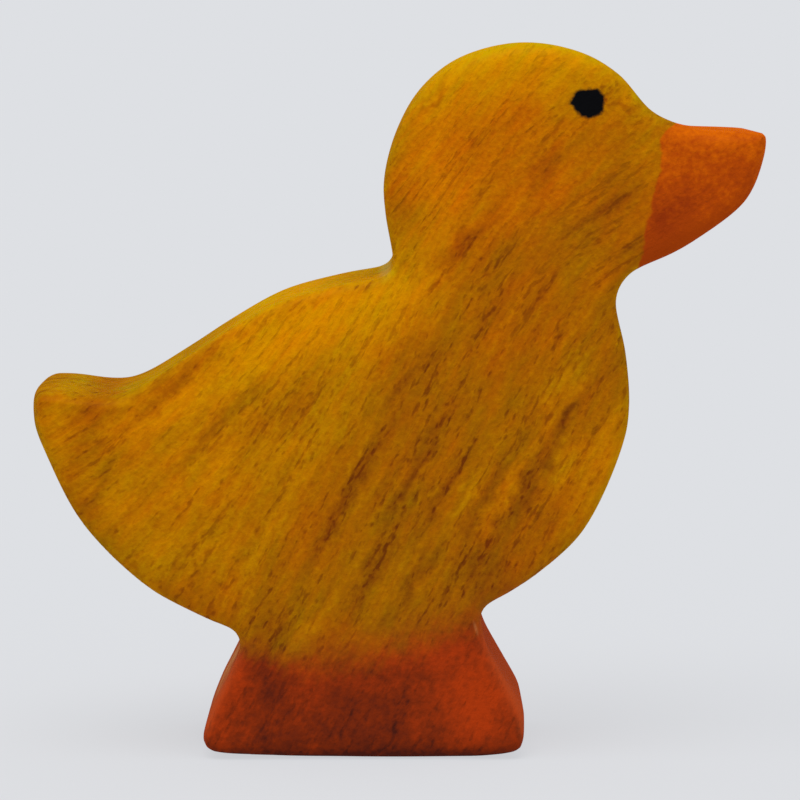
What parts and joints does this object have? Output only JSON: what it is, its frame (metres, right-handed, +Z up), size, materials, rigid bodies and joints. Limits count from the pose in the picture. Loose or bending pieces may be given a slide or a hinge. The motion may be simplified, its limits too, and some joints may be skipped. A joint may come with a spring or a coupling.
{
  "type": "wooden duckling figurine",
  "caption": "Flat toy duckling sawn from a board, edges sanded round, standing on its own broad flat base; stained body, beak and base, painted eyes.",
  "frame": {"origin": "on the flat underside, below the middle of the base's length and of the board's thickness", "axes": "+X points from the tail to the beak, +Y away from the side first seen, through the board's thickness, +Z up"},
  "size_m": [0.0614, 0.018, 0.06],
  "materials": {
    "stained_wood": "translucent golden yellow stain over visible grain, orange beak, red-orange base, dull satin wax"
  },
  "bodies": {
    "root": {"duckling": "stained_wood"}
  },
  "joints": []
}
